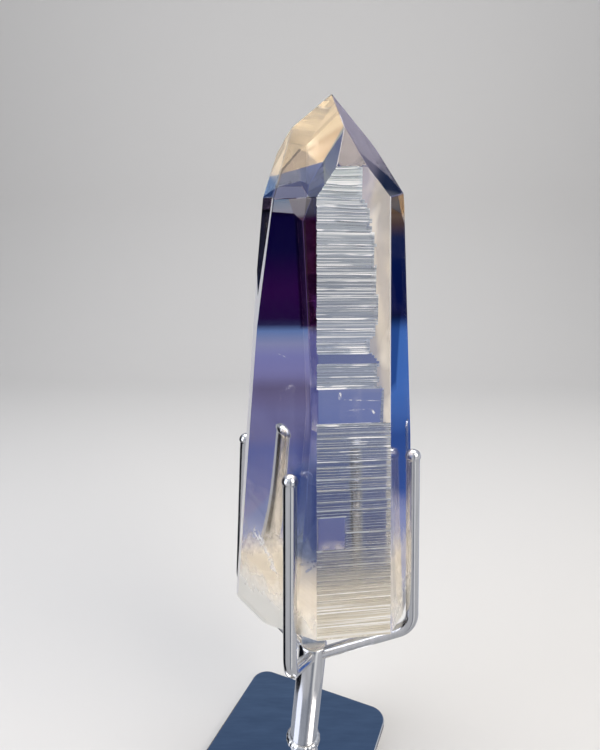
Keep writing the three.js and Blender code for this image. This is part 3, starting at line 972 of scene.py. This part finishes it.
# the tent: colour by direction, azimuth 0 away from the camera and rising to the right, in degrees
tentSpec = {
    "base": ((-90, "#FFEFD6"), (-54, "#FFEFD6"), (-47, "#ABABC4"), (-34, "#9295BE"), (-21, "#8E8CB8"),
             (-18, "#6C6CA6"), (-4, "#8A8FB0"), (4, "#C9CCD8"), (35, "#FFEFDA"), (90, "#FFECD0")),
    # light from above is stronger: elevation low and high, strength above the high one
    "lift": (12.0, 45.0, 4.3),
    # sectors: azimuth middle and half width, then elevation and colour
    "sectors": {
        "darkCard": (48, 15, ((-50, "#8A8AB4"), (-38, "#5C64A0"), (-26.5, "#565E98"), (-25, "#6A6894"),
                              (-22.5, "#706E9A"), (-21, "#6C668E"), (-19.5, "#655E81"), (-18, "#7E7CAE"),
                              (-15.8, "#7C7EB4"), (-15.0, "#8C8EB4"), (-14.2, "#7C86B0"), (-13.2, "#5C78AE"),
                              (-12.6, "#1C0838"), (-9, "#28053E"), (-5, "#080432"), (0.9, "#06022E"),
                              (1.8, "#8A8FB0"), (35, "#FFEFDA"))),
        "deepCard": (60, 5, ((-37, "#4A66A8"), (-28.5, "#4A66A8"), (-27.5, "#6A6894"))),
        "greyCard": (30, 3.5, ((-48, "#ABABC4"), (-30, "#8C8AA8"), (-25, "#5C5A66"), (-19, "#8E8A86"),
                               (-4, "#8A8FB0"), (4, "#C9CCD8"))),
        "maroonCard": (-9.9, 3.6, ((-39, "#4A66A8"), (-27, "#4A66A8"), (-25, "#6A70B0"), (-19.4, "#7472A8"),
                                   (-18.7, "#2A0420"), (-6.9, "#260416"), (-6.1, "#44445A"), (-3, "#60606A"),
                                   (4, "#C9CCD8"))),
        "maroonEdge": (-4.9, 2.4, ((-27, "#5A70B0"), (-22, "#8C8CB8"), (-15.8, "#8C8CB8"), (-15.0, "#260416"),
                                   (-6.9, "#260416"), (-6.1, "#44445A"), (-3, "#60606A"), (4, "#C9CCD8"))),
        "windowCard": (6, 5, ((-39, "#3A4684"), (-30, "#4A5A94"), (-26, "#52649E"), (-22, "#6470A4"),
                              (-19.9, "#6470A0"), (-19.5, "#8A8CA8"), (-18.6, "#8A8CA8"), (-18.2, "#5E6894"),
                              (-15.4, "#5A648E"), (-15.0, "#9094A8"), (-4, "#8A8FA6"), (0, "#A5A5A8"),
                              (4, "#C9CCD8"))),
        "underCard": (18, 4, ((-40, "#7C8094"), (-33.4, "#8A8896"), (-32.4, "#D8C4B0"), (-29, "#E2CCB0"))),
        "navyCard": (-48, 7, ((-40, "#6A74B0"), (-33, "#4A6AB8"), (-22, "#4066AC"), (-14.9, "#4068AC"),
                              (-13.5, "#040A44"), (-8, "#061648"), (-5, "#182448"), (-3, "#55402E"),
                              (-2, "#6A6468"), (4, "#9A98A0"))),
        "tipBand": (-37.5, 3.5, ((-38, "#8A86A0"), (-36, "#1C2440"), (-33, "#24304C"), (-29.5, "#24304C"),
                                 (-28.5, "#B0A8B8"), (-4, "#9A98A8"))),
        "creamCard": (-139, 14, ((-60, "#D8C8B4"), (-45, "#A8A4AC"), (-38, "#C0B6AC"), (-35.5, "#E4D8C6"),
                                 (-34, "#FFF0DA"), (-31, "#FFF0DA"), (-28, "#CFCBD0"), (-22, "#BDBBD0"),
                                 (0, "#C9CCD8"))),
        "creamSide": (93, 4, ((-48, "#E8DCC8"), (-38, "#FFF0DA"))),
        "sliverCard": (147, 7, ((-80, "#0A0818"), (-66, "#0A0818"), (-10, "#0A0818"), (-7, "#8A8FB0"))),
        "backDark": (170, 5, ((-34, "#1A1030"), (-8, "#1A1030"))),
        "backGlint": (-167, 6, ((6, "#200A20"), (18, "#200A20"))),
        "leftLow": (-109, 5, ((-51, "#4A66A8"), (-45, "#4A66A8"))),
        "leftLevel": (-109, 5, ((-10, "#5A6090"), (-2, "#5A6090"))),
        "tipShade": (-133, 5, ((-75, "#6E76A8"), (-68.4, "#7A7EA6"), (-67.4, "#8E8A98"), (-66.7, "#8E8A98"),
                               (-66.2, "#FFE8C2"))),
        "tipShadeBack": (155, 6, ((-64, "#98949E"), (-58, "#98949E"))),
        "tipShadeHigh": (105, 20, ((56, "#494F6B"), (68, "#494F6B"))),
        "frontTip": (70, 4, ((-70, "#D2C6C0"), (-60, "#D2C6C0"))),
        "rightTip": (-91, 5, ((-63, "#9C98A8"), (-54, "#9C98A8"))),
        "shoulderBlue": (117, 3.4, ((-45, "#3F6FB8"), (-32.4, "#3F6FB8"), (-31.6, "#E8D0AC"),
                                    (-28, "#E8D0AC"))),
        "shoulderTan": (109, 3.4, ((-38, "#F4DCB8"), (-29, "#F4DCB8"))),
    },
}


# what the steel and the crystal's outer faces mirror: a pale room with two dark flags and a bright strip
mirrorSpec = {
    "strength": 1.0,
    "base": ((-90, "#B9BABE"), (-30, "#CBCCD0"), (-8, "#DADBDE"), (0, "#DFE1E5"), (12, "#AEB3BE"),
             (40, "#D2D8E2"), (90, "#FFFFFF")),
    "sectors": {
        "flagLeft": (-74, 30, ((-70, "#B9BABE"), (-55, "#0E1018"), (22, "#0E1018"), (30, "#C4C9D2"))),
        "flagSliver": (-35, 6, ((-24, "#8A8E98"), (-12, "#0E1018"), (10, "#0E1018"), (12, "#3C5AA0"))),
        "flagTip": (-25, 4, ((11, "#3C5AA0"), (16.8, "#3C5AA0"), (17.8, "#E6D6BC"), (40, "#E6D6BC"))),
        "flagRight": (32, 9, ((-70, "#8A8A90"), (-46, "#8A8A90"), (-38, "#3060B0"), (-17, "#2C5094"),
                              (-14, "#3A66B4"), (-7.8, "#3A66B4"), (-6.4, "#04082E"), (1.5, "#06103A"),
                              (3, "#4A3A34"), (6, "#8A7A6E"), (12, "#A8A2B8"))),
        "flagShoulder": (19, 5, ((13, "#1E2C4C"), (17.4, "#263450"), (18.4, "#9A96AC"), (28, "#A8A2B4"))),
        "plateCard": (0, 16, ((37, "#D2D8E2"), (40, "#5A7090"), (58, "#41597E"), (66, "#D2D8E2"))),
        "stripRight": (150, 8, ((-60, "#CBCCD0"), (-50, "#FFFFFF"), (60, "#FFFFFF"))),
        "frontDim": (178, 16, ((-60, "#8E939C"), (20, "#767C88"), (60, "#D2D8E2"))),
    },
}


def directionColour(tree, turn, rise, share, spec):
    # the base colours by elevation, with each sector laid over them between its first and last elevation
    sideFade, endFade = 0.6, 0.3  # degrees
    colour = (ramp(tree, share, [((e + 90) / 180, srgb(c)) for e, c in spec["base"]]), 0)
    for middle, half, stops in spec["sectors"].values():
        card = ramp(tree, share, [((e + 90) / 180, srgb(c)) for e, c in stops])
        off = addNode(tree, "Math", {"operation": "SUBTRACT", 1: float(middle)}, {0: turn})
        off = addNode(tree, "Math", {"operation": "ABSOLUTE"}, {0: (off, 0)})
        inside = addNode(tree, "MapRange", fromTo(half + sideFade, half - sideFade), {"Value": (off, 0)})
        for edge, fade in ((stops[0][0], endFade), (stops[-1][0], -endFade)):
            reached = addNode(tree, "MapRange", fromTo(edge - fade, edge + fade), {"Value": rise})
            inside = addNode(tree, "Math", {"operation": "MULTIPLY"}, {0: (inside, 0), 1: (reached, 0)})
        colour = (addNode(tree, "Mix", {"data_type": "RGBA"}, {0: (inside, 0), 6: colour, 7: (card, 0)}), 2)
    return colour


def makeWorld():
    world = bpy.data.worlds.new("studioWorld")
    bpy.context.scene.world = world
    world.use_nodes = True
    tree = world.node_tree
    tree.nodes.clear()
    way = addNode(tree, "TexCoord")
    axes = addNode(tree, "SeparateXYZ", links={0: (way, "Generated")})
    rise = addNode(tree, "Math", {"operation": "ARCSINE"}, {0: (axes, "Z")})
    turn = addNode(tree, "Math", {"operation": "ARCTAN2"}, {0: (axes, "X"), 1: (axes, "Y")})
    rise, turn = (addNode(tree, "Math", {"operation": "MULTIPLY", 1: 180 / math.pi}, {0: (angle, 0)})
                  for angle in (rise, turn))
    share = addNode(tree, "MapRange", fromTo(-90.0, 90.0), {"Value": (rise, 0)})
    tentColour, mirrorColour = (directionColour(tree, (turn, 0), (rise, 0), (share, 0), spec)
                                for spec in (tentSpec, mirrorSpec))
    low, high, most = tentSpec["lift"]
    lift = addNode(tree, "MapRange", {"interpolation_type": "SMOOTHSTEP", **fromTo(low, high, 1.0, most)},
                   {"Value": (rise, 0)})
    tent = addNode(tree, "Background", None, {"Color": tentColour, "Strength": (lift, 0)})
    mirrored = addNode(tree, "Background", {"Strength": mirrorSpec["strength"]}, {"Color": mirrorColour})
    plain = addNode(tree, "Background", {"Color": srgb(studioSpec["worldLight"]),
                                         "Strength": studioSpec["worldStrength"]})
    path = addNode(tree, "LightPath")
    mixed = addNode(tree, "MixShader", None, {0: (path, "Is Glossy Ray"), 1: (plain, 0), 2: (mirrored, 0)})
    mixed = addNode(tree, "MixShader", None, {0: (path, "Is Transmission Ray"), 1: (mixed, 0), 2: (tent, 0)})
    addNode(tree, "OutputWorld", None, {"Surface": (mixed, 0)})


# lamps: place, what they look at, width and height, all in millimetres, watts and colour
lampSpec = {
    "keyRight": ((260, -200, 330), (8, 0, 85), (220, 260), 1.0, "#FFF6EA"),
    "fillLeft": ((-300, -120, 200), (8, 0, 80), (240, 320), 0.5, "#EEF2FF"),
    "topStrip": ((0, 60, 420), (8, 0, 90), (360, 160), 0.8, "#FFFFFF"),
    "wallWash": ((0, 150, 620), (0, 490, 120), (700, 200), 1.1, "#FFFFFF"),
}


def placed(place, axes):
    # the matrix that moves to the place and turns x, y and z to the axes
    return Matrix.Translation(np.array(place) * mm) @ Matrix(np.array(axes).T).to_4x4()


def makeLamps():
    for name, (place, target, size, watts, colour) in lampSpec.items():
        light = bpy.data.lights.new(name, "AREA")
        light.shape = "RECTANGLE"
        light.size, light.size_y = size[0] * mm, size[1] * mm
        light.energy = watts
        light.color = srgb(colour)[:3]
        lamp = bpy.data.objects.new(name, light)
        bpy.context.scene.collection.objects.link(lamp)
        away = np.array(place, float) - np.array(target, float)
        away /= np.linalg.norm(away)
        right = np.cross([0, 0, 1], away)
        right /= np.linalg.norm(right)
        lamp.matrix_world = placed(place, (right, np.cross(away, right), away))
        lamp.visible_camera = False


# camera: worked out from the photograph's edges
cameraSpec = {
    "eye": (1.0, -102.0, 116.0),
    "pitchDown": 13.9,
    "roll": 0.4,
    "focalPixels": 540.0,
    "imageHeight": 750.0,
    "sensor": 36.0,
    "clip": (5.0, 10000.0),
}


def makeCamera(spec):
    data = bpy.data.cameras.new("viewCamera")
    data.sensor_width = spec["sensor"]
    data.lens = spec["focalPixels"] / spec["imageHeight"] * spec["sensor"]
    data.clip_start, data.clip_end = (reach * mm for reach in spec["clip"])
    camera = bpy.data.objects.new("viewCamera", data)
    bpy.context.scene.collection.objects.link(camera)
    pitch, roll = math.radians(spec["pitchDown"]), math.radians(spec["roll"])
    right = np.array([1.0, 0.0, 0.0])
    up = np.array([0.0, math.sin(pitch), math.cos(pitch)])
    back = np.cross(right, up)
    turned = (math.cos(roll) * right + math.sin(roll) * up, math.cos(roll) * up - math.sin(roll) * right)
    camera.matrix_world = placed(spec["eye"], (*turned, back))
    bpy.context.scene.camera = camera


makeCrystal()
makeHolder()
makeSweep(studioSpec)
makeWorld()
makeLamps()
makeCamera(cameraSpec)

scene = bpy.context.scene
scene.view_settings.view_transform = "Standard"
scene.cycles.max_bounces = 24
scene.cycles.transmission_bounces = 24
scene.cycles.glossy_bounces = 12
scene.cycles.diffuse_bounces = 4
scene.cycles.transparent_max_bounces = 16
print("studio and camera ready")
